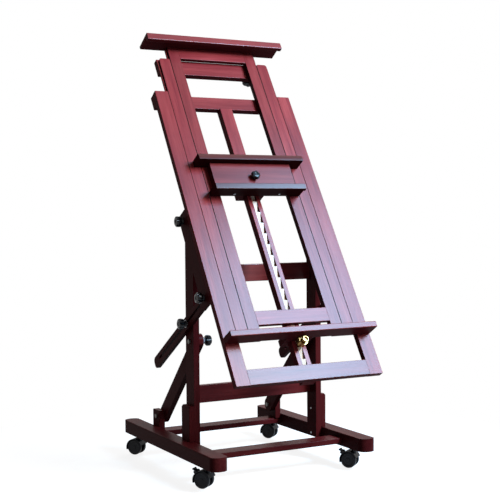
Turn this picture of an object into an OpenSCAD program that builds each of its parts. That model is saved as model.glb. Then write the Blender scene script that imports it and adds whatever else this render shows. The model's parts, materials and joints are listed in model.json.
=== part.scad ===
// Convertible studio easel on casters.
// A pair of posts on a wheeled base carries a tilting panel of three frames
// that slide in one another, with a ratchet tray and a clamped canvas holder.
// X runs across the easel, Y to the back, Z up. The origin is on the floor, in
// the middle of the easel's width and depth. The modules draw every piece with
// the posts at Y = 0, and at_posts() moves it to its place.

/* [Base] */
// Length of the side rails, front to back
rail_len = 690; // [640:5:760]
// How far the side rails reach in front of the posts
rail_front = 265; // [245:5:290]
// Width of a side rail
rail_w = 55; // [50:1:62]
// Height of a side rail
rail_h = 41; // [36:1:48]
// Thickness of the two flat crossbars
crossbar_t = 17.5; // [15:0.5:20]
// Outer face of a post, from the middle
post_x = 230; // [226:1:236]
// Thickness of a post, across the easel
post_t = 19.5; // [18:0.5:21]
// Depth of a post, front to back
post_d = 56; // [50:1:58]
// Height of the tilt pivot above the floor
pivot_z = 784; // [768:2:808]
// Height of the stay's clamp bolt above the floor
stay_z = 469; // [463:1:475]
// Height of the brace's upper bolt above the floor
brace_z = 413; // [406:1:416]
// Width of a brace
brace_w = 46; // [40:1:50]
// Thickness of a brace
brace_t = 18; // [15:0.5:20]

/* [Panel] */
// Lean of the panel from upright
tilt = 32; // [28:0.5:36]
// Outside width of the panel
panel_w = 500; // [498:1:504]
// Thickness of the frame stock
stile_t = 20; // [19:0.5:21]
// Height of the outer frame
outer_h = 1040; // [1020:2:1060]
// Height of the pivot above the panel's lower edge
pivot_up = 575; // [565:1:585]
// Distance from the panel's front face to the pivot
pivot_set = 50.5; // [50:0.25:52]
// Width of an outer frame stile
outer_stile_w = 46.5; // [44:0.5:48]
// Width of a middle frame stile
middle_stile_w = 40; // [38:0.5:42]
// Width of an inner frame stile
inner_stile_w = 39; // [37:0.5:41]
// How far the middle frame stands above the outer one
middle_rise = 138; // [130:1:144]
// How far the inner frame stands above the middle one
inner_rise = 49; // [46:1:54]
// Width of the centre stile
centre_w = 44; // [42:0.5:46]

/* [Rack and tray] */
// Height of one rack tooth
tooth_pitch = 39.4; // [36:0.2:42]
// Depth of one rack tooth
tooth_depth = 10; // [8:0.5:10]
// Number of rack ledges
teeth = 16; // [12:1:16]
// Width of the rack
rack_w = 15.5; // [14:0.5:18]
// Depth of the tray, front to back
tray_d = 50; // [46:1:56]
// Thickness of the tray
tray_t = 19; // [17:0.5:21]

/* [Hardware] */
// Diameter of the pivot bolts
pivot_bolt_d = 10; // [9:0.5:11]
// Diameter of the other clamp bolts
bolt_d = 8; // [7:0.5:8.5]
// Diameter of a star knob at the sides
knob_d = 34; // [30:1:36]
// Diameter of the holder's star knob
holder_knob_d = 30; // [27:1:33]
// Diameter of a caster wheel
wheel_d = 50; // [48:1:52]
// Direction the casters point in, turned from straight back
caster_turn = 38; // [0:1:90]

/* [Fits] */
// Radial clearance of a bolt or axle in its hole
run_fit = 0.05; // [0.03:0.01:0.09]
// Clearance between sliding pieces of wood
slide_gap = 0.5; // [0.4:0.05:0.7]
// Clearance between pieces that turn past one another
side_gap = 0.3; // [0.25:0.05:0.4]

/* [Hidden] */
$fn = 48;
eps = 0.01;

// Base levels and edges
caster_rise = 15;
rail_z = wheel_d + caster_rise;
rail_top = rail_z + rail_h;
rail_mid_x = post_x + rail_w / 2;
crossbar_z = rail_z + 7.5;
crossbar_top = crossbar_z + crossbar_t;
post_in = post_x - post_t;
post_foot = rail_z + 9;
front_bar_y = -119.5;
rear_bar_y = 273;
bar_w = 58;
block_t = 17;
block_h = 109;
rear_block_y = 266;
rear_block_d = 52;
rear_block_h = 69;
mid_rail_z = 217;
upper_rail_z = 591;
rail_board_h = 55;
rail_board_t = 20;
brace_foot = [262, crossbar_top + 49];
brace_run = brace_foot[0];
brace_drop = brace_z - brace_foot[1];
brace_angle = atan2(brace_drop, brace_run);
nut_w = bolt_d * 1.625;
nut_t = bolt_d * 0.75;
head_t = bolt_d * 0.625;
pivot_nut_w = pivot_bolt_d * 1.7;
pivot_nut_t = pivot_bolt_d * 0.7;

// Place of the posts: the foot of the panel and the rear end of the rails are
// then equally far from the origin
panel_foot = pivot_up * sin(tilt) + pivot_set * cos(tilt);
post_y = (panel_foot - rail_len + rail_front) / 2;

// Panel, in its own frame: x across, y to the back, z up, pivot at zero
front_y = -pivot_set;
back_y = front_y + stile_t;
bar_back = back_y + stile_t;
outer_x = panel_w / 2;
outer_in = outer_x - outer_stile_w;
middle_x = outer_in - slide_gap;
middle_in = middle_x - middle_stile_w;
inner_x = middle_in - slide_gap;
inner_in = inner_x - inner_stile_w;
outer_rail_h = 48;
bar_h = 48;
outer_bar_up = outer_h - 49;
middle_top = outer_h + middle_rise;
inner_top = middle_top + inner_rise;
middle_bar_h = 58;
middle_bar_up = middle_top - 48;
middle_knob_up = middle_bar_up + 16;
stile_foot = 140;
tongue_t = 6;
tongue_d = 5;
inner_rail_up = 185;
inner_rail_h = 46;
holder_up = 634;
holder_board_h = 92;
shelf_t = 16;
top_shelf_t = 22;
shelf_lip = 5;
shelf_lip_d = 14;
top_shelf_bevel = [5, 10];
shelf_y = front_y - slide_gap;
board_up = holder_up + shelf_t;
board_t = 24.5;
holder_x = 144;
holder_knob_up = board_up + 41;
holder_knob_h = 19;
top_rail_h = 45;
top_holder_d = 54;
top_holder_t = 10;
top_lip = 16;
tray_up = 132;
shoe_x = 45;
shoe_wall = 10;

outer_clamp_x = middle_in + middle_stile_w / 2;
middle_clamp_x = inner_in + inner_stile_w / 2;

// Centre stile: it stands in front of the bars' plane by centre_set
centre_set = 6;
centre_y = back_y - centre_set;

// Rack: tooth ledges face up, the first of them rack_up above the lower edge
rack_up = 72;
rack_top = rack_up + (teeth - 1) * tooth_pitch;
groove_w = rack_w + 0.5;
groove_d = tooth_depth + 3;

// Tray catch: its tip rests just above the second ledge
tip_w = 13;
tip_h = 10;
catch_up = rack_up + tooth_pitch + side_gap + tip_h / 2;
catch_r = 12.5;
catch_len = 20;
catch_seat = 2;
plunger_r = 4;
tip_gap = 0.4;

// Cheeks and stays
cheek_in = post_x + side_gap;
cheek_up = 276;
cheek_h = 324;
cheek_y0 = back_y;
cheek_y1 = 21.5;
stay_w = 38;
stay_t = 12;
stay_len = 477;
stay_nose = 20;
rebate_d = stay_t + 2 * side_gap;
rebate_h = 78;
cheek_bolt_r = 266;
stay_h = pivot_z - stay_z;
stay_dy = cheek_bolt_r * sin(tilt);
stay_dz = stay_h - cheek_bolt_r * cos(tilt);
stay_angle = atan2(stay_dy, stay_dz);
stay_reach = norm([stay_dy, stay_dz]);
slot_w = bolt_d + 0.4;
slot_start = 45;
slot_end = 415;
stay_washer_r = 12;
stay_washer_t = 2;

// Knobs
knob_h = 24;
collar_h = 7;
back_knob_d = 40;
collar_gap = 10;
bolt_end = knob_h - 9;

// Casters
caster_inset = 86;
front_caster_y = caster_inset - rail_front;
rear_caster_y = rail_len - rail_front - caster_inset;
trail = 14;
wheel_t = 12.5;
wheel_in = 8.5;
axle_r = 3;
stem_r = 4;
stem_up = 25;
stem_down = 24;
washer_t = 2.5;
washer_r = stem_r + 5;
hood_r = wheel_d / 2 + 3.5;
hood_t = 2.5;
hood_lean = 18;
hub_r = 13;
socket_z = wheel_d / 2 + 5;
lever_w = 18;
lever_len = 13;
lever_t = 3.5;
lever_end_r = 2.8;
lever_rise = 40;
lever_eye = 3.4;
lever_pin_r = 1.6;
lug_t = 3.2;
lug_r = lever_eye + 1.6;
pin_at = 42;
pin_out = hood_r + lever_eye + side_gap;

wood = [0.30, 0.09, 0.07];
pale_wood = [0.80, 0.66, 0.45];
black = [0.06, 0.06, 0.07];
grey = [0.55, 0.55, 0.56];
steel = [0.72, 0.73, 0.75];
brass = [0.80, 0.62, 0.28];

// ---------- helpers ----------

// Moves a piece drawn with the posts at Y = 0 to its place
module at_posts() {
    translate([0, post_y, 0])
        children();
}

// Places what is drawn in the panel's own frame
module on_panel() {
    translate([0, 0, pivot_z])
        rotate([-tilt, 0, 0])
            children();
}

// Box between two corners
module block(low, high) {
    translate(low)
        cube(high - low);
}

// Rectangle with round corners, from one corner to the other
module round_rect(low, high, r) {
    translate([low[0] + r, low[1]])
        square([high[0] - low[0] - 2 * r, high[1] - low[1]]);
    translate([low[0], low[1] + r])
        square([high[0] - low[0], high[1] - low[1] - 2 * r]);
    for (x = [low[0] + r, high[0] - r], y = [low[1] + r, high[1] - r])
        translate([x, y])
            circle(r);
}

// Extrudes an outline drawn in (y, z) along X, between two places
module across(x0, x1) {
    translate([x0, 0, 0])
        rotate([90, 0, 90])
            linear_extrude(x1 - x0)
                children();
}

// Extrudes an outline drawn in (x, z) along Y, between two places
module deep(y0, y1) {
    translate([0, y1, 0])
        rotate([90, 0, 0])
            linear_extrude(y1 - y0)
                children();
}

// Draws the piece on the left as well as the right
module both_sides() {
    children();
    mirror([1, 0, 0])
        children();
}

// Takes a right-hand piece to the side asked for: 1 is right, -1 left
module on_side(side) {
    if (side > 0)
        children();
    else
        mirror([1, 0, 0])
            children();
}

// Round bar along X
module rod_x(x0, x1, r) {
    translate([x0, 0, 0])
        rotate([0, 90, 0])
            cylinder(h = x1 - x0, r = r);
}

// Round bar along Y
module rod_y(y0, y1, r) {
    translate([0, y0, 0])
        rotate([-90, 0, 0])
            cylinder(h = y1 - y0, r = r);
}

// Six-sided bolt head or nut along X
module hex_x(x0, x1, flats) {
    translate([x0, 0, 0])
        rotate([0, 90, 0])
            cylinder(h = x1 - x0, r = flats / sqrt(3), $fn = 6);
}

// Star knob on the Z axis, standing on its collar, with a dished top and, if
// asked for, a blind bore
module star_knob(d, h, bore) {
    lobes = 5;
    scallop = d * 0.19;
    dish = d * 0.17;
    difference() {
        intersection() {
            union() {
                cylinder(h = collar_h, r1 = d * 0.30, r2 = d * 0.26);
                translate([0, 0, collar_h])
                    linear_extrude(h - collar_h)
                        difference() {
                            circle(d / 2);
                            for (i = [0:lobes - 1])
                                rotate(360 / lobes * (i + 0.5))
                                    translate([d * 0.555, 0])
                                        circle(scallop);
                        }
            }
            rotate_extrude()
                polygon([
                    [0, 0], [d / 2 - 3, 0], [d / 2 - 3, collar_h], [d / 2, collar_h + 3],
                    [d / 2, h - 5], [d / 2 - 1.5, h - 2.2], [d / 2 - 5, h - 0.6],
                    [dish + 1.5, h], [dish, h - 0.5], [dish - 0.5, h - 2], [0, h - 2]
                ]);
        }
        if (bore > 0)
            translate([0, 0, -1])
                cylinder(h = h - 7, r = bore);
    }
}

// Star knob whose collar rests at x, pointing to +X
module knob_x(x, bore) {
    translate([x, 0, 0])
        rotate([0, 90, 0])
            star_knob(knob_d, knob_h, bore);
}

// ---------- base ----------

// Draws a caster at its stem, its wheels trailing as it stands
module at_caster(side, front) {
    translate([side * rail_mid_x, front ? front_caster_y : rear_caster_y, 0])
        rotate(caster_turn)
            children();
}

module side_rail() {
    difference() {
        intersection() {
            translate([0, 0, rail_z])
                linear_extrude(rail_h)
                    round_rect([post_x, -rail_front], [post_x + rail_w, rail_len - rail_front], rail_w * 0.44);
            deep(-rail_front, rail_len - rail_front)
                union() {
                    round_rect([post_x, rail_z + rail_h / 2], [post_x + rail_w, rail_top], 4);
                    translate([post_x, rail_z])
                        square([rail_w, rail_h - 4]);
                }
        }
        for (y = [front_caster_y, rear_caster_y])
            translate([rail_mid_x, y, rail_z - 1])
                cylinder(h = stem_up + 1, r = stem_r + run_fit);
    }
}

module side_rail_left() {
    color(wood) at_posts() on_side(-1) side_rail();
}

module side_rail_right() {
    color(wood) at_posts() side_rail();
}

// Flat board between the side rails, with softened long edges
module crossbar(y) {
    across(-post_x, post_x)
        round_rect([y - bar_w / 2, crossbar_z], [y + bar_w / 2, crossbar_top], 3);
}

module crossbars() {
    color(wood) at_posts()
        for (y = [front_bar_y, rear_bar_y])
            crossbar(y);
}

module post() {
    difference() {
        across(post_in, post_x)
            union() {
                translate([-post_d / 2, post_foot])
                    square([post_d, pivot_z - post_foot]);
                translate([0, pivot_z])
                    circle(post_d / 2, $fn = 96);
            }
        translate([0, 0, pivot_z])
            rod_x(post_in - 1, post_x + 1, pivot_bolt_d / 2 + run_fit);
        for (z = [stay_z, brace_z])
            translate([0, 0, z])
                rod_x(post_in - 1, post_x + 1, bolt_d / 2 + run_fit);
    }
}

module post_left() {
    color(wood) at_posts() on_side(-1) post();
}

module post_right() {
    color(wood) at_posts() post();
}

// Blocks on the rails that stiffen the feet of the posts
module post_blocks() {
    bevel = 5;
    color(wood) at_posts()
        both_sides()
            deep(-post_d / 2, post_d / 2)
                polygon([
                    [post_x, rail_top], [post_x + block_t, rail_top],
                    [post_x + block_t, rail_top + block_h - bevel],
                    [post_x + block_t - bevel, rail_top + block_h], [post_x, rail_top + block_h]
                ]);
}

// Uprights on the rear crossbar that take the lower ends of the braces
module rear_blocks() {
    color(wood) at_posts()
        both_sides()
            difference() {
                across(post_in, post_x)
                    round_rect([rear_block_y - rear_block_d / 2, crossbar_top],
                               [rear_block_y + rear_block_d / 2, crossbar_top + rear_block_h], 3);
                translate([0, brace_foot[0], brace_foot[1]])
                    rod_x(post_in - 1, post_x + 1, bolt_d / 2 + run_fit);
            }
}

// Board between the posts
module post_rail(z) {
    across(-post_in, post_in)
        round_rect([post_d / 2 - rail_board_t, z], [post_d / 2, z + rail_board_h], 2);
}

module mid_rail() {
    color(wood) at_posts() post_rail(mid_rail_z);
}

module upper_rail() {
    color(wood) at_posts() post_rail(upper_rail_z);
}

// Slanting strut from the post down to the rear upright, round at both ends
module brace() {
    difference() {
        across(post_in - brace_t, post_in)
            translate([0, brace_z])
                rotate(-brace_angle)
                    union() {
                        translate([0, -brace_w / 2])
                            square([norm([brace_run, brace_drop]), brace_w]);
                        for (y = [0, norm([brace_run, brace_drop])])
                            translate([y, 0])
                                circle(brace_w / 2, $fn = 96);
                    }
        for (p = [[0, brace_z], brace_foot])
            translate([0, p[0], p[1]])
                rod_x(post_in - brace_t - 1, post_in + 1, bolt_d / 2 + run_fit);
    }
}

module braces() {
    color(wood) at_posts() both_sides() brace();
}

// Pivot bolts of the panel and the bolts of the braces
module base_bolts() {
    color(steel) at_posts()
        both_sides() {
            translate([0, 0, pivot_z]) {
                rod_x(post_in - 1, outer_x + side_gap + bolt_end, pivot_bolt_d / 2);
                hex_x(post_in - pivot_nut_t, post_in, pivot_nut_w);
            }
            translate([0, 0, brace_z]) {
                rod_x(post_in - brace_t - collar_gap - bolt_end, post_x + 1, bolt_d / 2);
                hex_x(post_x, post_x + head_t, nut_w);
            }
            translate([0, brace_foot[0], brace_foot[1]]) {
                rod_x(post_in - brace_t - 1, post_x + 1, bolt_d / 2);
                hex_x(post_x, post_x + head_t, nut_w);
                hex_x(post_in - brace_t - nut_t, post_in - brace_t, nut_w);
            }
        }
}

// Conical collars between the braces and their knobs
module brace_collars() {
    color(grey) at_posts()
        both_sides()
            translate([post_in - brace_t, 0, brace_z])
                rotate([0, -90, 0])
                    difference() {
                        cylinder(h = collar_gap - side_gap, r1 = knob_d * 0.38, r2 = knob_d * 0.27);
                        translate([0, 0, -1])
                            cylinder(h = collar_gap + 1, r = bolt_d / 2 + run_fit);
                    }
}

// Black angle plate in the corner of the right post and the mid rail
module corner_plate() {
    leg = 40;
    wing = 26;
    plate_t = 2.5;
    plate_h = 22;
    inner_y = post_d / 2 - rail_board_t;
    color(black) at_posts()
        translate([0, 0, mid_rail_z + rail_board_h / 2])
            linear_extrude(plate_h)
                difference() {
                    round_rect([post_in - leg, inner_y - wing], [post_in, inner_y], 1);
                    translate([post_in - leg - 1, inner_y - wing - 1])
                        square([leg + 1 - plate_t, wing + 1 - plate_t]);
                }
}

// ---------- casters ----------

// Stem and washer of each caster, driven up into the rails
module caster_stems() {
    color(steel) at_posts()
        for (side = [-1, 1], front = [true, false])
            at_caster(side, front) {
                translate([0, 0, rail_z - stem_down])
                    cylinder(h = stem_down + stem_up, r = stem_r);
                translate([0, 0, rail_z - washer_t])
                    cylinder(h = washer_t, r = washer_r);
            }
}

// Ring sector of the hood, over the upper half of a wheel
module hood_arc(outer, inner) {
    translate([trail, wheel_d / 2])
        difference() {
            circle(outer);
            circle(inner);
            rotate(-hood_lean)
                translate([-wheel_d, -2 * wheel_d])
                    square(2 * wheel_d);
        }
}

// Plastic housing: a web between the wheels, the stem's socket and a hood
module caster_housing(braked) {
    web = wheel_in - 1;
    hood_x = wheel_in + wheel_t + 0.5;
    socket_top = rail_z - washer_t - side_gap;
    difference() {
        union() {
            across(-web, web)
                union() {
                    translate([trail, wheel_d / 2])
                        circle(hub_r + 2);
                    translate([-web + 1, socket_z])
                        square([trail + web - 1, hub_r - 1]);
                }
            translate([0, 0, socket_z])
                cylinder(h = socket_top - socket_z, r = web);
            translate([0, 0, socket_top - 4])
                cylinder(h = 4, r = web + 2.5);
            across(-hood_x, hood_x)
                hood_arc(hood_r, hood_r - hood_t);
            across(-web, web)
                hood_arc(hood_r - 1, hub_r);
            if (braked)
                brake_lugs();
        }
        translate([0, 0, rail_z - stem_down - 3])
            cylinder(h = stem_down + 4, r = stem_r + run_fit);
        translate([0, trail, wheel_d / 2])
            rod_x(-wheel_in, wheel_in, axle_r + run_fit);
    }
}

// Place of the brake lever's pin, clear of the back of the hood
module at_lever() {
    translate([trail + pin_out * cos(pin_at), wheel_d / 2 + pin_out * sin(pin_at)])
        children();
}

// Lugs on the hood with the brake lever's pin between them
module brake_lugs() {
    inner = lever_w / 2 + side_gap;
    both_sides()
        across(inner, inner + lug_t)
            at_lever()
                circle(lug_r);
    across(-inner - lug_t, inner + lug_t)
        at_lever()
            circle(lever_pin_r);
}

// Foot lever that presses on both wheels, one profile across the caster
module brake_lever() {
    tip = lever_len - 2;
    across(-lever_w / 2, lever_w / 2)
        at_lever()
            rotate(lever_rise)
                difference() {
                    union() {
                        circle(lever_eye);
                        translate([0, -lever_t / 4])
                            square([tip, lever_t]);
                        translate([tip, lever_t / 4])
                            circle(lever_end_r);
                    }
                    circle(lever_pin_r + run_fit);
                }
}

// Pair of wheels on one axle
module caster_wheels() {
    r = wheel_d / 2;
    translate([0, trail, r]) {
        rod_x(-wheel_in - 2, wheel_in + 2, axle_r);
        both_sides()
            translate([wheel_in, 0, 0])
                rotate([0, 90, 0])
                    rotate_extrude($fn = 64)
                        polygon([
                            [0, 0], [r - 2, 0], [r, 2], [r, wheel_t - 4], [r - 1.2, wheel_t - 1.6],
                            [r - 4, wheel_t], [r - 7, wheel_t], [r - 9, wheel_t - 2], [7, wheel_t - 2],
                            [6, wheel_t - 0.5], [0, wheel_t - 0.5]
                        ]);
    }
}

module caster_front_left() {
    color(black) at_posts() at_caster(-1, true) caster_housing(true);
}

module caster_front_right() {
    color(black) at_posts() at_caster(1, true) caster_housing(true);
}

module caster_rear_left() {
    color(black) at_posts() at_caster(-1, false) caster_housing(false);
}

module caster_rear_right() {
    color(black) at_posts() at_caster(1, false) caster_housing(false);
}

module wheels_front_left() {
    color(black) at_posts() at_caster(-1, true) caster_wheels();
}

module wheels_front_right() {
    color(black) at_posts() at_caster(1, true) caster_wheels();
}

module wheels_rear_left() {
    color(black) at_posts() at_caster(-1, false) caster_wheels();
}

module wheels_rear_right() {
    color(black) at_posts() at_caster(1, false) caster_wheels();
}

module brake_left() {
    color(black) at_posts() at_caster(-1, true) brake_lever();
}

module brake_right() {
    color(black) at_posts() at_caster(1, true) brake_lever();
}

// ---------- outer frame ----------

// Height above the panel's lower edge, counted from the pivot
function up(h) = h - pivot_up;

// Back of each frame: 0 is the outer one, 1 the middle one, 2 the inner one
function frame_back(level) = back_y - level * slide_gap;

// Upright of a frame, drawn as its cross-section and extruded up the panel.
// A groove runs down its inner edge and a tongue down its outer edge.
module stile(x0, x1, foot, top, level, grooved, tongued) {
    mid_y = (front_y + back_y) / 2;
    translate([0, 0, up(foot)])
        linear_extrude(top - foot)
            difference() {
                union() {
                    round_rect([x0, front_y], [x1, frame_back(level)], 1.2);
                    if (tongued)
                        translate([x1 - eps, mid_y - tongue_t / 2])
                            square([tongue_d + eps, tongue_t]);
                }
                if (grooved)
                    translate([x0 - 1, mid_y - tongue_t / 2 - slide_gap / 2])
                        square([tongue_d + slide_gap + 1, tongue_t + slide_gap]);
            }
}

module outer_stile() {
    stile(outer_in, outer_x, 0, outer_h, 0, true, false);
}

module outer_stile_left() {
    color(wood) at_posts() on_panel() on_side(-1) outer_stile();
}

module outer_stile_right() {
    color(wood) at_posts() on_panel() outer_stile();
}

module outer_bottom_rail() {
    color(wood) at_posts()
        on_panel()
            across(-outer_in, outer_in)
                round_rect([front_y, up(0)], [back_y, up(outer_rail_h)], 1.2);
}

// Bar across the back of a frame, with the bore of its clamp knob
module back_bar(half_w, level, foot, h, clamp_x, clamp_up) {
    y0 = frame_back(level);
    difference() {
        across(-half_w, half_w)
            round_rect([y0, up(foot)], [y0 + stile_t, up(foot + h)], 1.2);
        translate([clamp_x, 0, up(clamp_up)])
            rod_y(y0 - 1, y0 + stile_t + 1, bolt_d / 2 + run_fit);
    }
}

module outer_top_bar() {
    knob_up = outer_bar_up + bar_h / 2;
    color(wood) at_posts() on_panel() back_bar(outer_x, 0, outer_bar_up, bar_h, outer_clamp_x, knob_up);
}

// Post up the middle of the outer frame, grooved for the rack. Its foot is cut
// back to stand behind the bottom rail.
module centre_stile() {
    color(wood) at_posts()
        on_panel()
            difference() {
                translate([0, 0, up(0)])
                    linear_extrude(outer_bar_up)
                        round_rect([-centre_w / 2, centre_y], [centre_w / 2, bar_back], 1.2);
                block([-groove_w / 2, centre_y - 1, up(outer_rail_h)],
                      [groove_w / 2, centre_y + groove_d, up(rack_top)]);
                block([-centre_w / 2 - 1, centre_y - 1, up(0) - 1],
                      [centre_w / 2 + 1, back_y, up(outer_rail_h)]);
            }
}

// Saw-tooth rack: every tooth has a flat ledge on top, and below it the face
// falls back to the root of the tooth underneath. The lowest tooth is cut short
// by the bottom rail.
module rack() {
    root = centre_y + tooth_depth;
    first = centre_y + tooth_depth * (rack_up - outer_rail_h) / tooth_pitch;
    color(pale_wood) at_posts()
        on_panel()
            across(-rack_w / 2, rack_w / 2)
                polygon(concat(
                    [
                        [centre_y + groove_d, up(outer_rail_h)], [first, up(outer_rail_h)],
                        [centre_y, up(rack_up)]
                    ],
                    [for (i = [0:teeth - 2], tip = [0, 1])
                        [tip == 1 ? centre_y : root, up(rack_up + (i + tip) * tooth_pitch)]],
                    [[centre_y + groove_d, up(rack_top)]]
                ));
}

// Cheek: the block on the back of the panel that turns on the post.
// Its lower inner side is cut away for the stay.
module cheek() {
    difference() {
        across(cheek_in, outer_x)
            round_rect([cheek_y0, up(cheek_up)], [cheek_y1, up(cheek_up + cheek_h)], 1.2);
        rod_x(cheek_in - 1, outer_x + 1, pivot_bolt_d / 2 + run_fit);
        translate([0, 0, -cheek_bolt_r])
            rod_x(cheek_in, outer_x + 1, bolt_d / 2 + run_fit);
        block([cheek_in - 1, cheek_y0 - 1, up(cheek_up) - 1],
              [cheek_in + rebate_d, cheek_y1 + 1, up(cheek_up) + rebate_h]);
    }
}

module cheek_left() {
    color(wood) at_posts() on_panel() on_side(-1) cheek();
}

module cheek_right() {
    color(wood) at_posts() on_panel() cheek();
}

// Studs in the cheeks that hold the upper ends of the stays
module cheek_bolts() {
    color(steel) at_posts()
        on_panel()
            both_sides()
                translate([0, 0, -cheek_bolt_r])
                    rod_x(cheek_in + rebate_d, outer_x + side_gap + bolt_end, bolt_d / 2);
}

// ---------- middle and inner frames ----------

module middle_stile() {
    corner = 9;
    intersection() {
        stile(middle_in, middle_x, stile_foot, middle_top, 1, true, true);
        deep(front_y - 1, back_y + 1)
            union() {
                round_rect([middle_in - 1, up(stile_foot)], [middle_x, up(middle_top)], corner);
                translate([middle_in - 1, up(stile_foot)])
                    square([middle_stile_w + tongue_d + 2, middle_top - stile_foot - corner]);
            }
    }
}

module middle_stiles() {
    color(wood) at_posts() on_panel() both_sides() middle_stile();
}

module middle_top_bar() {
    color(wood) at_posts()
        on_panel()
            back_bar(middle_x, 1, middle_bar_up, middle_bar_h, middle_clamp_x, middle_knob_up);
}

module inner_stile() {
    stile(inner_in, inner_x, stile_foot, inner_top, 2, false, true);
}

module inner_stiles() {
    color(wood) at_posts() on_panel() both_sides() inner_stile();
}

// Cross rail between the inner stiles, thinner than they are to pass in front
// of the centre stile
module inner_rail(foot, h) {
    across(-inner_in, inner_in)
        round_rect([front_y, up(foot)], [centre_y - slide_gap, up(foot + h)], 1.2);
}

module inner_rails() {
    color(wood) at_posts()
        on_panel() {
            inner_rail(inner_rail_up, inner_rail_h);
            inner_rail(inner_top - top_rail_h, top_rail_h);
        }
}

// Board across the top of the inner frame, with a lip that reaches down over
// the upper edge of a canvas
module top_holder() {
    lip_y = front_y - top_holder_d;
    top = up(inner_top + top_holder_t);
    color(wood) at_posts()
        on_panel()
            across(-outer_x - 1, outer_x + 1) {
                round_rect([lip_y, up(inner_top) - top_lip], [lip_y + top_lip, top], 3);
                translate([lip_y + 3, up(inner_top)])
                    square([frame_back(2) - lip_y - 3, top_holder_t]);
            }
}

// ---------- canvas holder and tray ----------

// Shelf across the front of the panel
module shelf(half_w, depth, foot, h) {
    across(-half_w, half_w)
        round_rect([shelf_y - depth, up(foot)], [shelf_y, up(foot + h)], 2.5);
}

// Shoe that slides on the centre stile, made as a plan and extruded
module shoe(foot, h, bore_up) {
    difference() {
        translate([0, 0, up(foot)])
            linear_extrude(h)
                difference() {
                    round_rect([-shoe_x, shelf_y], [shoe_x, bar_back + slide_gap + shoe_wall], 2);
                    translate([-centre_w / 2 - slide_gap, centre_y - slide_gap])
                        square([centre_w, stile_t + centre_set] + 2 * slide_gap * [1, 1]);
                }
        if (bore_up > 0)
            translate([0, 0, up(bore_up)])
                rod_y(shelf_y - 1, centre_y, bolt_d / 2 + run_fit);
    }
}

module holder_board() {
    color(wood) at_posts()
        on_panel()
            difference() {
                deep(shelf_y - board_t, shelf_y)
                    round_rect([-holder_x, up(board_up)], [holder_x, up(board_up + holder_board_h)], 1.2);
                translate([0, 0, up(holder_knob_up)])
                    rod_y(shelf_y - board_t - 1, shelf_y + 1, bolt_d / 2 + run_fit);
            }
}

// Lower shelf with a lip under its front edge, and the bevelled upper shelf
module holder_shelves() {
    low_d = board_t + 28.5;
    high_y = shelf_y - board_t - 24;
    high = up(board_up + holder_board_h);
    color(wood) at_posts()
        on_panel() {
            shelf(holder_x + 16, low_d, holder_up, shelf_t);
            across(-holder_x - 16, holder_x + 16)
                round_rect([shelf_y - low_d, up(holder_up - shelf_lip)],
                           [shelf_y - low_d + shelf_lip_d, up(holder_up) + shelf_t / 2], 2.5);
            across(-holder_x - 43, holder_x + 43)
                polygon([
                    [high_y, high], [shelf_y, high], [shelf_y, high + top_shelf_t],
                    [high_y + top_shelf_bevel[0], high + top_shelf_t],
                    [high_y, high + top_shelf_t - top_shelf_bevel[1]]
                ]);
        }
}

module holder_shoe() {
    color(wood) at_posts() on_panel() shoe(board_up, holder_board_h, holder_knob_up);
}

module tray_board() {
    color(wood) at_posts() on_panel() shelf(outer_x - 0.5, tray_d, tray_up, tray_t);
}

module tray_shoe() {
    color(wood) at_posts() on_panel() shoe(tray_up, tray_t, 0);
}

// Brass housing of the tray's catch, under the tray
module catch_housing() {
    color(brass) at_posts()
        on_panel()
            difference() {
                deep(front_y + catch_seat - catch_len, front_y + catch_seat)
                    union() {
                        translate([0, up(catch_up)])
                            circle(catch_r, $fn = 64);
                        translate([-catch_r - 2, up(catch_up)])
                            square([2 * catch_r + 4, tray_up - catch_up]);
                    }
                translate([0, 0, up(catch_up)])
                    rod_y(front_y - catch_len, front_y + 2 * catch_seat, plunger_r + run_fit);
            }
}

// Plunger: a blade that sits on a rack ledge, its rod and a dished pull knob.
// The blade's back face lies along the slope of the tooth above it.
module catch_plunger() {
    ledge = rack_up + tooth_pitch;
    foot = catch_up - tip_h / 2 - ledge;
    slope = tooth_depth / tooth_pitch;
    root = centre_y + tooth_depth - tip_gap;
    tip_front = front_y + 12;
    pull_y = front_y + catch_seat - catch_len - 2;
    color(brass) at_posts()
        on_panel() {
            translate([0, 0, up(ledge)])
                across(-tip_w / 2, tip_w / 2)
                    polygon([
                        [tip_front, foot], [root - slope * foot, foot],
                        [root - slope * (foot + tip_h), foot + tip_h], [tip_front, foot + tip_h]
                    ]);
            translate([0, 0, up(catch_up)]) {
                rod_y(pull_y - 6, tip_front + 1, plunger_r);
                translate([0, pull_y, 0])
                    rotate([90, 0, 0])
                        rotate_extrude($fn = 64)
                            polygon([
                                [0, 0], [6, 0], [8.8, 3], [9.3, 6], [9.3, 11], [8.6, 12],
                                [7.2, 12], [6.3, 11], [5.6, 6.5], [0, 5.5]
                            ]);
            }
        }
}

// ---------- stays ----------

// Draws in the stay's own frame: z along the stay, zero at the post's bolt
module on_stay() {
    translate([0, 0, stay_z])
        rotate([stay_angle, 0, 0])
            children();
}

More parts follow.
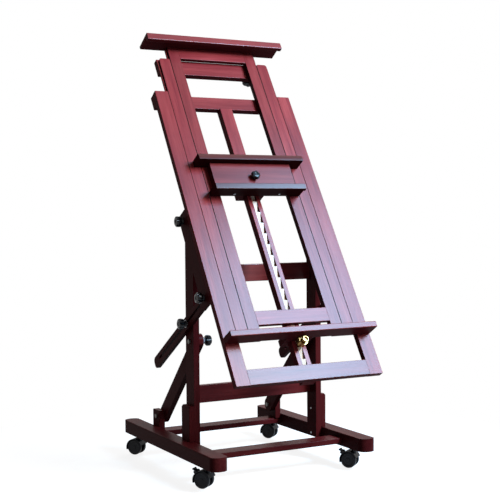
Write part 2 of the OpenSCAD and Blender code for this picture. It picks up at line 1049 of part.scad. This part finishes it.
// Slotted stay between the cheek and the bolt in the post
module stay() {
    top = stay_reach;
    half = stay_w / 2;
    difference() {
        across(cheek_in, cheek_in + stay_t)
            difference() {
                union() {
                    translate([0, top])
                        circle(half, $fn = 96);
                    translate([-half, top - stay_len / 2])
                        square([stay_w, stay_len / 2]);
                    round_rect([-half, top + stay_nose - stay_len], [half, top - 20], stay_w * 0.4);
                }
                for (z = [top - slot_start - slot_w / 2, top - slot_end + slot_w / 2])
                    translate([0, z])
                        circle(slot_w / 2);
                translate([-slot_w / 2, top - slot_end + slot_w / 2])
                    square([slot_w, slot_end - slot_start - slot_w]);
            }
        translate([0, 0, top])
            rod_x(cheek_in - 1, cheek_in + stay_t + 1, bolt_d / 2 + 0.2);
    }
}

module stay_left() {
    color(wood) at_posts() on_side(-1) on_stay() stay();
}

module stay_right() {
    color(wood) at_posts() on_stay() stay();
}

// Bolt with a washer face that clamps the stay to the post
module stay_bolt() {
    washer_x = cheek_in + stay_t;
    rod_x(post_in - 1, washer_x + stay_washer_t + side_gap + bolt_end, bolt_d / 2);
    hex_x(post_in - nut_t, post_in, nut_w);
    rod_x(washer_x, washer_x + stay_washer_t, stay_washer_r);
}

module stay_bolt_left() {
    color(steel) at_posts() on_side(-1) on_stay() stay_bolt();
}

module stay_bolt_right() {
    color(steel) at_posts() on_stay() stay_bolt();
}

// ---------- knobs ----------

module tilt_knob(side) {
    color(black) at_posts()
        on_side(side)
            translate([0, 0, pivot_z])
                knob_x(outer_x + side_gap, pivot_bolt_d / 2 + run_fit);
}

module cheek_knob(side) {
    color(black) at_posts()
        on_panel()
            on_side(side)
                translate([0, 0, -cheek_bolt_r])
                    knob_x(outer_x + side_gap, bolt_d / 2 + run_fit);
}

module stay_knob(side) {
    color(black) at_posts()
        on_side(side)
            translate([0, 0, stay_z])
                knob_x(cheek_in + stay_t + stay_washer_t + side_gap, bolt_d / 2 + run_fit);
}

module brace_knob(side) {
    color(black) at_posts()
        on_side(side)
            translate([post_in - brace_t - collar_gap, 0, brace_z])
                mirror([1, 0, 0])
                    knob_x(0, bolt_d / 2 + run_fit);
}

module tilt_knob_left() {
    tilt_knob(-1);
}

module tilt_knob_right() {
    tilt_knob(1);
}

module cheek_knob_left() {
    cheek_knob(-1);
}

module cheek_knob_right() {
    cheek_knob(1);
}

module stay_knob_left() {
    stay_knob(-1);
}

module stay_knob_right() {
    stay_knob(1);
}

module brace_knob_left() {
    brace_knob(-1);
}

module brace_knob_right() {
    brace_knob(1);
}

// Star knob with its own stud, on the back of a bar and pressing forward
module back_knob(x, h, level) {
    bar_front = frame_back(level);
    color(black) at_posts()
        on_panel()
            translate([x, 0, up(h)]) {
                translate([0, bar_front + stile_t + side_gap, 0])
                    rotate([-90, 0, 0])
                        star_knob(back_knob_d, knob_h, 0);
                rod_y(bar_front, bar_front + stile_t + 4, bolt_d / 2);
            }
}

module outer_clamp_knob() {
    back_knob(outer_clamp_x, outer_bar_up + bar_h / 2, 0);
}

module middle_clamp_knob() {
    back_knob(middle_clamp_x, middle_knob_up, 1);
}

// Knob on the front of the holder's board, pressing on the centre stile
module holder_knob() {
    color(black) at_posts()
        on_panel()
            translate([0, 0, up(holder_knob_up)]) {
                translate([0, shelf_y - board_t - side_gap, 0])
                    rotate([90, 0, 0])
                        star_knob(holder_knob_d, holder_knob_h, 0);
                rod_y(shelf_y - board_t - 4, centre_y - slide_gap, bolt_d / 2);
            }
}

side_rail_left();
side_rail_right();
crossbars();
post_left();
post_right();
post_blocks();
rear_blocks();
mid_rail();
upper_rail();
braces();
base_bolts();
brace_collars();
corner_plate();
caster_stems();
caster_front_left();
caster_front_right();
caster_rear_left();
caster_rear_right();
wheels_front_left();
wheels_front_right();
wheels_rear_left();
wheels_rear_right();
brake_left();
brake_right();
outer_stile_left();
outer_stile_right();
outer_bottom_rail();
outer_top_bar();
centre_stile();
rack();
cheek_left();
cheek_right();
cheek_bolts();
middle_stiles();
middle_top_bar();
inner_stiles();
inner_rails();
top_holder();
holder_board();
holder_shelves();
holder_shoe();
holder_knob();
tray_board();
tray_shoe();
catch_housing();
catch_plunger();
stay_left();
stay_right();
stay_bolt_left();
stay_bolt_right();
tilt_knob_left();
tilt_knob_right();
cheek_knob_left();
cheek_knob_right();
stay_knob_left();
stay_knob_right();
brace_knob_left();
brace_knob_right();
outer_clamp_knob();
middle_clamp_knob();
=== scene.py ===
"""Looks of a wooden studio easel on casters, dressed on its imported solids."""

import json
import math

import bpy
from mathutils import Matrix, Vector


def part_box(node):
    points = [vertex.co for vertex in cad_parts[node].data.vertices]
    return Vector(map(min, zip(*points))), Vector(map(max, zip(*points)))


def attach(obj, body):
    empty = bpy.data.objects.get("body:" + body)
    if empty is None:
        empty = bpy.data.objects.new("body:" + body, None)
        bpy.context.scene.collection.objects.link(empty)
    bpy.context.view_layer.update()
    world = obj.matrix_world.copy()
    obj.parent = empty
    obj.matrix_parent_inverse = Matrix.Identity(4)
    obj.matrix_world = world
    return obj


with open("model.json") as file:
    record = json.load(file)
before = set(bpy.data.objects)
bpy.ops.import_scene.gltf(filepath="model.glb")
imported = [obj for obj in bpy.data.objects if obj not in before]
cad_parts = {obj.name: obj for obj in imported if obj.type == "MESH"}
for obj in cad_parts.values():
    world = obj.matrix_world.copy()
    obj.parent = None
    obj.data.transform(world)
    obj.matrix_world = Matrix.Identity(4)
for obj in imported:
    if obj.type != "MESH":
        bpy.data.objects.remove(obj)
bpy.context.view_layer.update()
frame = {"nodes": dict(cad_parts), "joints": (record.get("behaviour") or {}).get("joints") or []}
NODES = frame["nodes"]
JOINTS = {joint["name"]: joint for joint in frame["joints"]}
POST_Y = sum(corner.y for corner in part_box("post_left")) / 2


# ---------------------------------------------------------------- directions

def lean_of(direction):
    """Angle about X that brings +Z to a direction that lies in the YZ plane."""
    return math.atan2(-direction[1], direction[2])


def brace_lean(width=0.046):
    """Lean of a brace, from the box round the braces less their own width."""
    low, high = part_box("braces")
    run = high.y - low.y - width
    drop = high.z - low.z - width
    return lean_of((0, run, -drop)) + math.pi


SIDEWAYS = Vector((1, 0, 0))
PANEL_UP = Vector(JOINTS["tray_slide"]["axis"])
PANEL_FRONT = Vector(JOINTS["catch_pull"]["axis"])
PANEL_LEAN = lean_of(PANEL_UP)
STAY_LEAN = lean_of(JOINTS["stay_slide_right"]["axis"])

# Turns that lay a board's grain along the pattern's Z.
UPRIGHT = (0, 0, 0)
ACROSS = (0, math.pi / 2, 0)
FRONT_TO_BACK = (math.pi / 2, 0, 0)
ALONG_PANEL = (-PANEL_LEAN, 0, 0)
ALONG_STAY = (-STAY_LEAN, 0, 0)
ALONG_BRACE = (-brace_lean(), 0, 0)


# ---------------------------------------------------------- shader expressions

class Wire:
    """A value of a shader, on which arithmetic adds Math nodes."""

    def __init__(self, shader, socket):
        self.shader = shader
        self.socket = socket

    def _math(self, operation, *values):
        return self.shader.node("ShaderNodeMath", {"operation": operation}, *values)

    def __add__(self, other):
        return self._math("ADD", self, other)

    def __radd__(self, other):
        return self._math("ADD", other, self)

    def __sub__(self, other):
        return self._math("SUBTRACT", self, other)

    def __rsub__(self, other):
        return self._math("SUBTRACT", other, self)

    def __mul__(self, other):
        return self._math("MULTIPLY", self, other)

    def __rmul__(self, other):
        return self._math("MULTIPLY", other, self)

    def __truediv__(self, other):
        return self._math("DIVIDE", self, other)

    def __rtruediv__(self, other):
        return self._math("DIVIDE", other, self)

    def clipped(self):
        """The value kept between 0 and 1."""
        return self.shader.node("ShaderNodeClamp", {}, self, 0.0, 1.0)

    def past(self, start, slope):
        """0 up to the start, then up to 1 at this slope."""
        return ((self - start) * slope).clipped()

    def greatest(self, other):
        return self._math("MAXIMUM", self, other)

    def least(self, other):
        return self._math("MINIMUM", self, other)

    def size(self):
        """The value without its sign."""
        return self._math("ABSOLUTE", self)

    def also(self, name):
        """Another output of the same node."""
        return Wire(self.shader, self.socket.node.outputs[name])


class Shader:
    """The node tree of a material or of the world, and the calls that fill it."""

    MIX_GAP = (None,) * 5  # sockets of a Mix node between its factor and its two colours
    MIX_COLOUR = 2  # its colour output

    def __init__(self, owner):
        self.owner = owner
        owner.use_nodes = True
        self.nodes = owner.node_tree.nodes
        self.links = owner.node_tree.links
        self.nodes.clear()

    def node(self, kind, settings=None, *values, out=0, **named):
        """A new node: its settings first, then its sockets in order or by name."""
        made = self.nodes.new(kind)
        stops = ()
        for key, value in (settings or {}).items():
            if key == "stops":
                stops = value
            else:
                setattr(made, key, value)
        if stops:
            ramp = made.color_ramp
            while len(ramp.elements) < len(stops):
                ramp.elements.new(0.5)
            for element, (place, colour) in zip(ramp.elements, stops):
                element.position = place
                element.color = (*colour, 1.0)
        for index, value in enumerate(values):
            self._put(made.inputs[index], value)
        for key, value in named.items():
            self._put(made.inputs[key.replace("_", " ")], value)
        return Wire(self, made.outputs[out]) if made.outputs else None

    def _put(self, socket, value):
        if isinstance(value, Wire):
            self.links.new(value.socket, socket)
        elif isinstance(value, tuple) and socket.type == "RGBA":
            socket.default_value = (*value, 1.0)
        elif value is not None:
            socket.default_value = value

    def place(self, turn=(0, 0, 0), shift=(0, 0, 0), stretch=(1, 1, 1)):
        """Object coordinates, turned, then shifted and stretched."""
        where = self.node("ShaderNodeTexCoord", out="Object")
        point = {"vector_type": "POINT"}
        turned = self.node("ShaderNodeMapping", point, where, None, turn)
        return self.node("ShaderNodeMapping", point, turned, shift, (0, 0, 0), stretch)

    def facing(self, direction):
        """1 on faces that look this way, 0 across it and -1 on their backs."""
        normal = self.node("ShaderNodeTexCoord", out="Normal")
        dot = {"operation": "DOT_PRODUCT"}
        return self.node("ShaderNodeVectorMath", dot, normal, tuple(direction), out="Value")

    def noise(self, where, scale=1.0, detail=3.0, rough=0.5, distortion=0.0):
        return self.node("ShaderNodeTexNoise", {"noise_dimensions": "3D"}, Vector=where,
                         Scale=scale, Detail=detail, Roughness=rough, Distortion=distortion)

    def ramp(self, value, *stops):
        return self.node("ShaderNodeValToRGB", {"stops": stops}, value)

    def blend(self, factor, first, second, mode="MIX"):
        """The second colour laid over the first by the factor."""
        colours = {"data_type": "RGBA", "blend_type": mode, "clamp_result": True}
        return self.node("ShaderNodeMix", colours, factor, *self.MIX_GAP, first, second,
                         out=self.MIX_COLOUR)

    def bump(self, height, strength, distance):
        return self.node("ShaderNodeBump", Strength=strength, Distance=distance, Height=height)

    def principled(self, **sockets):
        return self.node("ShaderNodeBsdfPrincipled", **sockets)

    def glow(self, strength):
        return self.node("ShaderNodeEmission", Strength=strength)

    def mix(self, factor, first, second):
        """The first shader where the factor is 0, the second where it is 1."""
        return self.node("ShaderNodeMixShader", {}, factor, first, second)

    def seen(self):
        """1 for what the eye, a gloss or a glass sees, 0 for the light on things."""
        rays = self.node("ShaderNodeLightPath", out="Is Camera Ray")
        return rays.greatest(rays.also("Is Glossy Ray")).greatest(rays.also("Is Transmission Ray"))

    def finish(self, shader):
        """Closes the tree and gives its material or world back."""
        kind = "World" if isinstance(self.owner, bpy.types.World) else "Material"
        self.node("ShaderNodeOutput" + kind, {}, shader)
        return self.owner


def new_finish(name):
    return Shader(bpy.data.materials.new(name))


def shaded(colour, factor):
    """A colour made darker or lighter."""
    return tuple(factor * part for part in colour)


# ------------------------------------------------------------------ materials

STAIN_DEEP = (0.11, 0.006, 0.010)
STAIN_DARK = (0.18, 0.012, 0.016)
STAIN_MIDDLE = (0.29, 0.029, 0.028)
STAIN_LIGHT = (0.41, 0.054, 0.049)
# Painted shade: the near-black that the sides and undersides of the wood are blended towards.
PAINTED_SIDE_SHADE = (0.030, 0.003, 0.004)
JOINT_SHADOW = (0.006, 0.001, 0.001)
PORE_SHADE = (0.45, 0.45, 0.45)
UNSHADED = (1.0, 1.0, 1.0)


def joint_lines(s):
    """1 along the lines where the frames meet one another, 0 away from them."""
    tongue, half_gap, fade = 0.005, 0.00025, 0.0013
    wider, finer = 0.0005, 0.0006
    across = s.node("ShaderNodeSeparateXYZ", {}, s.place(), out="X").size()
    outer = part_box("outer_bottom_rail")[1].x
    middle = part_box("middle_top_bar")[1].x
    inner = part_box("inner_stiles")[1].x - tongue
    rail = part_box("inner_rails")[1].x
    first = (across - (outer + middle) / 2).size()
    second = (across - (inner + half_gap)).size() - wider
    third = (across - rail).size() + finer
    return (1.35 - first.least(second).least(third) / fade).clipped()


def stained_wood(name, turn, seed, tone_and_shade, gloss, lined):
    """Mahogany stain, the grain running along the turned Z. The faces to the
    front are polished, the sides and backs are left satin, and the sides and
    undersides are darkened towards a near-black as painted shade."""
    s = new_finish(name)
    shift = shaded((0.37, 0.61, 0.23), seed)
    fibres = s.noise(s.place(turn, shift, (260, 260, 9)), detail=4.0, rough=0.6)
    figure = s.noise(s.place(turn, shift, (38, 38, 2.2)), rough=0.55, distortion=0.6)
    clouds = s.noise(s.place(turn, shift, (7, 7, 3.0)), detail=2.0)
    pores = s.noise(s.place(turn, shift, (900, 900, 26)), detail=2.0)

    streaks = (figure * 0.62 + fibres * 0.38).clipped()
    stain = s.ramp(streaks, (0.30, shaded(STAIN_DARK, tone_and_shade)), (0.50, shaded(STAIN_MIDDLE, tone_and_shade)),
                   (0.72, shaded(STAIN_LIGHT, tone_and_shade)))
    cloudy = s.blend(clouds.past(0.36, 1.5), stain, shaded(STAIN_DEEP, tone_and_shade))
    pore = s.ramp(pores, (0.30, PORE_SHADE), (0.42, UNSHADED))
    colour = s.blend(0.55, cloudy, pore, "MULTIPLY")
    if lined:
        colour = s.blend(joint_lines(s) * 0.92, colour, JOINT_SHADOW)
    rough = 0.24 + fibres * 0.06 + clouds * 0.04
    bumps = s.bump(fibres * 0.6 + pores * 0.4, 0.06, 0.0004)
    polished = s.principled(Base_Color=colour, Roughness=rough, Specular_IOR_Level=gloss,
                            Normal=bumps)

    # Painted shade: undersides and sideways faces are blended towards a near-black by the
    # direction they face, up to 0.85 of the way; sideways faces of the dull-fronted pieces go up
    # to 0.60.
    polished_panel = gloss > 0.1
    shade_below = s.facing(-PANEL_UP).past(0.4, 4.0) * 0.85
    shade_aside = s.facing(SIDEWAYS).size().past(0.4, 4.0) * (0.85 if polished_panel else 0.60)
    painted_shade = s.blend(shade_aside.greatest(shade_below), colour, shaded(PAINTED_SIDE_SHADE, tone_and_shade))
    satin = s.principled(Base_Color=painted_shade, Roughness=rough + 0.20, Specular_IOR_Level=0.013,
                         Normal=bumps)
    return s.finish(s.mix(s.facing(PANEL_FRONT).past(0.45, 4.0), satin, polished))


def pale_beech(name, turn):
    """Clear varnished beech of the rack."""
    s = new_finish(name)
    shift = (0.2, 0.1, 0.4)
    fibres = s.noise(s.place(turn, shift, (420, 420, 18)), detail=4.0, rough=0.6)
    clouds = s.noise(s.place(turn, shift, (40, 40, 5)))
    colour = s.ramp((fibres * 0.6 + clouds * 0.4).clipped(), (0.30, (0.56, 0.31, 0.19)),
                    (0.52, (0.82, 0.57, 0.40)), (0.75, (0.92, 0.74, 0.58)))
    return s.finish(s.principled(
        Base_Color=colour, Roughness=0.36 + clouds * 0.10, Specular_IOR_Level=0.5,
        Normal=s.bump(fibres, 0.12, 0.0004),
    ))


def plastic(name, shade, rough, grain, shine=0.3):
    """Moulded plastic with a fine cast texture."""
    s = new_finish(name)
    cast = s.noise(s.place(), scale=grain, rough=0.6)
    patches = s.noise(s.place(), scale=60.0, detail=2.0)
    colour = s.ramp(patches, (0.30, shaded(shade, 0.75)), (0.70, shaded(shade, 1.35)))
    return s.finish(s.principled(
        Base_Color=colour, Roughness=rough + patches * 0.10, Specular_IOR_Level=shine,
        Normal=s.bump(cast, 0.08, 0.0003),
    ))


def metal(name, shade, rough, streak):
    """Plate or brass with a fine turned or drawn finish."""
    s = new_finish(name)
    lines = s.noise(s.place(stretch=streak), rough=0.6)
    stains = s.noise(s.place(), scale=90.0)
    colour = s.ramp((lines * 0.5 + stains * 0.5).clipped(),
                    (0.30, shaded(shade, 0.72)), (0.68, shade))
    return s.finish(s.principled(
        Base_Color=colour, Metallic=1.0, Roughness=rough + stains * 0.16,
        Normal=s.bump(lines, 0.06, 0.0002),
    ))


# Finish: grain's turn, pattern's seed, tone of the stain with painted shade, gloss of the front,
# solids.
# The base, braces, cheeks, stays and holder shelves have a tone of 0.24 to 0.60 against
# 0.72 to 1.05 on the panel, which paints in the shade they stand in.
WOOD = {
    "wood_side_rails": (FRONT_TO_BACK, 1.0, 0.24, 0.02, ["side_rail_left", "side_rail_right"]),
    "wood_crossbars": (ACROSS, 2.0, 0.36, 0.03, ["crossbars"]),
    "wood_mid_rail": (ACROSS, 2.3, 0.52, 0.05, ["mid_rail"]),
    "wood_upper_rail": (ACROSS, 2.6, 0.60, 0.45, ["upper_rail"]),
    "wood_posts": (UPRIGHT, 3.0, 0.30, 0.02,
                   ["post_left", "post_right", "post_blocks", "rear_blocks"]),
    "wood_braces": (ALONG_BRACE, 4.0, 0.30, 0.02, ["braces"]),
    "wood_outer_stiles": (ALONG_PANEL, 5.0, 1.00, 0.20,
                          ["outer_stile_left", "outer_stile_right"]),
    "wood_middle_stiles": (ALONG_PANEL, 6.3, 1.05, 0.20, ["middle_stiles", "centre_stile"]),
    "wood_inner_stiles": (ALONG_PANEL, 7.7, 0.85, 0.20, ["inner_stiles"]),
    "wood_cheeks": (ALONG_PANEL, 8.1, 0.30, 0.02, ["cheek_left", "cheek_right"]),
    "wood_bars": (ACROSS, 9.4, 0.90, 0.20,
                  ["outer_top_bar", "middle_top_bar", "tray_shoe", "holder_shoe"]),
    "wood_bottom_rail": (ACROSS, 15.6, 0.74, 0.23, ["outer_bottom_rail"]),
    "wood_inner_rails": (ACROSS, 10.6, 0.98, 0.20, ["inner_rails"]),
    "wood_holder": (ACROSS, 11.2, 0.72, 0.20, ["holder_board"]),
    "wood_top_holder": (ACROSS, 14.8, 0.90, 0.36, ["top_holder"]),
    "wood_shelves": (ACROSS, 11.9, 0.30, 0.34, ["holder_shelves"]),
    "wood_tray": (ACROSS, 13.3, 0.85, 0.20, ["tray_board"]),
    "wood_stays": (ALONG_STAY, 12.2, 0.30, 0.02, ["stay_left", "stay_right"]),
}

# Finishes that show the lines between the frames.
LINED = ("wood_outer_stiles", "wood_middle_stiles", "wood_inner_stiles")

# Drilled posts and braces keep their sharp sawn edges.
SHARP = {"post_left", "post_right", "braces"}
BROKEN_EDGE = 0.0012


def dress(node, material):
    """Gives the finish to every slot of a solid, in place."""
    slots = NODES[node].material_slots
    if not slots:
        NODES[node].data.materials.append(material)
    for place in slots:
        place.link = "OBJECT"
        place.material = material


def soften(node, width):
    """Breaks a solid's sharp edges by a small round and keeps its faces flat."""
    piece = NODES[node]
    weld = piece.modifiers.new("joined", "WELD")
    weld.merge_threshold = 0.00002
    edge = piece.modifiers.new("broken edge", "BEVEL")
    edge.width = width
    edge.segments = 2
    edge.limit_method = "ANGLE"
    edge.angle_limit = math.radians(50)
    flat = piece.modifiers.new("flat faces", "WEIGHTED_NORMAL")
    flat.mode = "FACE_AREA"
    flat.weight = 100
    flat.keep_sharp = False


def dress_wood():
    for name, (turn, seed, tone_and_shade, gloss, nodes) in WOOD.items():
        finish = stained_wood(name, turn, seed, tone_and_shade, gloss, name in LINED)
        for node in nodes:
            dress(node, finish)


def dress_hardware():
    """Finishes the knobs, casters and metal, and gives back the zinc for the screws."""
    drawn, turned = (900, 900, 60), (60, 60, 900)
    knob = plastic("knob_black", (0.008, 0.008, 0.010), rough=0.18, grain=700.0, shine=0.20)
    caster = plastic("caster_black", (0.007, 0.007, 0.009), rough=0.30, grain=900.0, shine=0.14)
    wheel = plastic("wheel_black", (0.009, 0.009, 0.011), rough=0.38, grain=1200.0, shine=0.14)
    paint = plastic("plate_black", (0.015, 0.015, 0.016), rough=0.35, grain=500.0)
    collar = plastic("collar_grey", (0.34, 0.34, 0.37), rough=0.32, grain=800.0)
    zinc = metal("zinc_plate", (0.30, 0.30, 0.32), rough=0.28, streak=drawn)
    aged = metal("bolt_steel", (0.11, 0.10, 0.095), rough=0.42, streak=drawn)
    brass = metal("polished_brass", (0.34, 0.22, 0.085), rough=0.20, streak=turned)
    for node in NODES:
        if "knob" in node:
            dress(node, knob)
        elif node.startswith("wheels_"):
            dress(node, wheel)
        elif node == "base_bolts":
            dress(node, aged)
        elif node == "caster_stems" or "bolt" in node:
            dress(node, zinc)
        elif node.startswith(("caster_", "brake_")):
            dress(node, caster)
        elif node.startswith("catch_"):
            dress(node, brass)
    dress("rack", pale_beech("rack_beech", ALONG_PANEL))
    dress("brace_collars", collar)
    dress("corner_plate", paint)
    return zinc


# ------------------------------------------------------------------- fasteners

SCREW_RADIUS = 0.0036
SCREW_PROUD = 0.0003


def screw_heads(zinc):
    """Geometry Nodes tree: a cross-slotted countersunk head on every point."""
    sides, taper, slot_reach, slot_lift = 28, 0.55, 1.15, 0.0006
    tree = bpy.data.node_groups.new("countersunk_screws", "GeometryNodeTree")
    tree.is_modifier = True
    face = tree.interface
    face.new_socket("Places", in_out="INPUT", socket_type="NodeSocketGeometry")
    for name, value in (("Head radius", 0.004), ("Head depth", 0.0016), ("Slot width", 0.0009)):
        size = face.new_socket(name, in_out="INPUT", socket_type="NodeSocketFloat")
        size.default_value = value
    face.new_socket("Screws", in_out="OUTPUT", socket_type="NodeSocketGeometry")

    def add(kind, **settings):
        made = tree.nodes.new(kind)
        for key, value in settings.items():
            setattr(made, key, value)
        return made

    def link(source, target):
        tree.links.new(source, target)

    def times(value, factor):
        made = add("ShaderNodeMath", operation="MULTIPLY")
        link(value, made.inputs[0])
        made.inputs[1].default_value = factor
        return made.outputs[0]

    places, radius, depth, slot = add("NodeGroupInput").outputs[:4]
    cone = add("GeometryNodeMeshCone")
    cone.inputs["Vertices"].default_value = sides
    link(radius, cone.inputs["Radius Bottom"])
    link(times(radius, taper), cone.inputs["Radius Top"])
    link(depth, cone.inputs["Depth"])
    cut = add("GeometryNodeMeshBoolean", operation="DIFFERENCE")
    link(cone.outputs[0], cut.inputs[0])
    arm = times(radius, slot_reach)
    for long_axis, short_axis in ((0, 1), (1, 0)):
        size = add("ShaderNodeCombineXYZ")
        link(arm, size.inputs[long_axis])
        link(slot, size.inputs[short_axis])
        link(depth, size.inputs["Z"])
        bar = add("GeometryNodeMeshCube")
        link(size.outputs[0], bar.inputs["Size"])
        sunk = add("GeometryNodeTransform")
        sunk.inputs["Translation"].default_value = (0, 0, -slot_lift)
        link(bar.outputs[0], sunk.inputs["Geometry"])
        link(sunk.outputs[0], cut.inputs[1])
    facing = add("GeometryNodeInputNamedAttribute", data_type="FLOAT_VECTOR")
    facing.inputs["Name"].default_value = "facing"
    turn = add("FunctionNodeAlignRotationToVector", axis="Z")
    link(facing.outputs[0], turn.inputs["Vector"])
    put = add("GeometryNodeInstanceOnPoints")
    link(places, put.inputs["Points"])
    link(cut.outputs[0], put.inputs["Instance"])
    link(turn.outputs[0], put.inputs["Rotation"])
    real = add("GeometryNodeRealizeInstances")
    link(put.outputs[0], real.inputs[0])
    paint = add("GeometryNodeSetMaterial")
    paint.inputs["Material"].default_value = zinc
    link(real.outputs[0], paint.inputs["Geometry"])
    link(paint.outputs[0], add("NodeGroupOutput").inputs[0])
    return tree


def input_id(tree, name):
    return next(item.identifier for item in tree.interface.items_tree
                if item.item_type == "SOCKET" and item.in_out == "INPUT" and item.name == name)


def set_screws(name, tree, body, places):
    """Screws at (place, outward direction) pairs; the head's face is just proud."""
    points = bpy.data.meshes.new(name + "_places")
    points.from_pydata([Vector(p) + Vector(n) * SCREW_PROUD for p, n in places], [], [])
    facing = points.attributes.new("facing", "FLOAT_VECTOR", "POINT")
    for item, (_, n) in zip(facing.data, places):
        item.vector = -Vector(n)
    holder = bpy.data.objects.new(name + "_places", points)
    bpy.context.scene.collection.objects.link(holder)
    grow = holder.modifiers.new("screws", "NODES")
    grow.node_group = tree
    grow[input_id(tree, "Head radius")] = SCREW_RADIUS
    bpy.context.view_layer.update()
    grown = holder.evaluated_get(bpy.context.evaluated_depsgraph_get())
    piece = bpy.data.objects.new(name, bpy.data.meshes.new_from_object(grown))
    bpy.context.scene.collection.objects.link(piece)
    bpy.data.objects.remove(holder)
    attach(piece, body)


def base_screws():
    """Two screws inside each post's foot and two in the corner plate."""
    up_the_post, off_centre = (0.010, 0.090), 0.004
    plate_face, side_inset, back_inset = 0.0025, 0.009, 0.008
    places = []
    for outward, post in ((1, "post_left"), (-1, "post_right")):
        low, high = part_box(post)
        inner = high.x if outward > 0 else low.x
        for rise in up_the_post:
            places.append(((inner, POST_Y + off_centre, low.z + rise), (outward, 0, 0)))
    low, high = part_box("corner_plate")
    level = (low.z + high.z) / 2
    places.append(((low.x + side_inset, high.y - plate_face, level), (0, -1, 0)))
    places.append(((high.x - plate_face, low.y + back_inset, level), (-1, 0, 0)))
    return places


def holder_screws():
    """Two screws up through the lower shelf of the canvas holder."""
    lip, inset, spread = 0.03, 0.012, 0.56
    shelves = NODES["holder_shelves"]
    corners = [shelves.matrix_world @ vertex.co for vertex in shelves.data.vertices]
    back = min(corner.dot(PANEL_FRONT) for corner in corners)
    under = min(corner.dot(PANEL_UP) for corner in corners
                if corner.dot(PANEL_FRONT) < back + lip)
    row = PANEL_UP * under + PANEL_FRONT * (back + inset)
    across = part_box("holder_board")[1].x * spread
    return [(Vector((side * across, row.y, row.z)), -PANEL_UP) for side in (-1, 1)]


def place_screws(zinc):
    tree = screw_heads(zinc)
    set_screws("base_wood_screws", tree, "base", base_screws())
    set_screws("holder_screws", tree, "canvas_holder", holder_screws())


# ---------------------------------------------------------------------- stage

def studio():
    """A world that looks white and lights the easel with a dim, cool fill."""
    s = Shader(bpy.data.worlds.new("studio"))
    fill = s.node("ShaderNodeBackground", {}, (0.92, 0.94, 1.0), 0.10)
    white = s.node("ShaderNodeBackground", {}, (1.0, 1.0, 1.0), 1.0)
    bpy.context.scene.world = s.finish(s.mix(s.seen(), fill, white))


def floor():
    """Pale floor that keeps the shadow near the easel and fades into the white."""
    half, fade_from, fade_over, near_glow = 9.0, 0.45, 0.65, 0.87
    corners = [(-half, -half, 0), (half, -half, 0), (half, half, 0), (-half, half, 0)]
    mesh = bpy.data.meshes.new("floor")
    mesh.from_pydata(corners, [], [(0, 1, 2, 3)])
    plane = bpy.data.objects.new("floor", mesh)
    bpy.context.scene.collection.objects.link(plane)
    s = new_finish("floor_white")
    matt = s.node("ShaderNodeBsdfDiffuse", {}, (0.35, 0.35, 0.35))
    near = s.node("ShaderNodeAddShader", {}, matt, s.glow(near_glow))
    away = s.node("ShaderNodeVectorMath", {"operation": "LENGTH"}, s.place(), out="Value")
    faded = s.mix(((away - fade_from) / fade_over).clipped(), near, s.glow(1.0))
    mesh.materials.append(s.finish(s.mix(s.seen(), matt, faded)))


def lamp(name, place, aim, size, watts, colour):
    """Square or oblong soft lamp, turned to what it lights."""
    data = bpy.data.lights.new(name, "AREA")
    data.shape = "RECTANGLE"
    data.size, data.size_y = size
    data.energy = watts
    data.color = colour
    light = bpy.data.objects.new(name, data)
    bpy.context.scene.collection.objects.link(light)
    light.location = place
    light.rotation_mode = "QUATERNION"
    light.rotation_quaternion = (Vector(aim) - Vector(place)).to_track_quat("-Z", "Y")


def lamps():
    """The softbox stands where the panel's polish mirrors it to the camera."""
    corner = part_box("outer_bottom_rail")[0]
    foot = Vector((0, corner.y, corner.z))
    glance, distance = Vector((0.500, -0.455, 0.737)), 3.4
    lamp("softbox", foot + glance * distance, foot, (1.22, 1.50), 272, (0.31, 0.645, 0.98))
    lamp("rear", (1.9, 2.9, 2.3), (0, 0, 0.7), (1.6, 1.6), 42, (1.0, 0.96, 0.92))
    lamp("key", (1.75, -3.1, 3.2), (0, 0, 0.75), (1.2, 1.2), 108, (1.0, 0.93, 0.86))


def camera():
    """Camera on the left in front of the easel, at about panel height."""
    azimuth, pitch, roll = (math.radians(angle) for angle in (-28.4, -1.97, -0.44))
    data = bpy.data.cameras.new("view")
    data.lens = 77.16
    data.sensor_width = 36.0
    data.clip_end = 60.0
    eye = bpy.data.objects.new("view", data)
    bpy.context.scene.collection.objects.link(eye)
    forward = Vector((-math.sin(azimuth) * math.cos(pitch),
                      math.cos(azimuth) * math.cos(pitch), math.sin(pitch)))
    right = Vector((math.cos(azimuth), math.sin(azimuth), 0))
    up = right.cross(forward)
    side = right * math.cos(roll) + up * math.sin(roll)
    top = up * math.cos(roll) - right * math.sin(roll)
    turn = Matrix((side, top, -forward)).transposed()
    eye.matrix_world = Matrix.Translation((-1.6343, POST_Y - 2.9938, 0.8082)) @ turn.to_4x4()
    bpy.context.scene.camera = eye


# ----------------------------------------------------------------------- make

dress_wood()
place_screws(dress_hardware())
for wooden in sorted({node for *_, nodes in WOOD.values() for node in nodes} - SHARP):
    soften(wooden, BROKEN_EDGE)
studio()
floor()
lamps()
camera()
bpy.context.scene.view_settings.view_transform = "Standard"
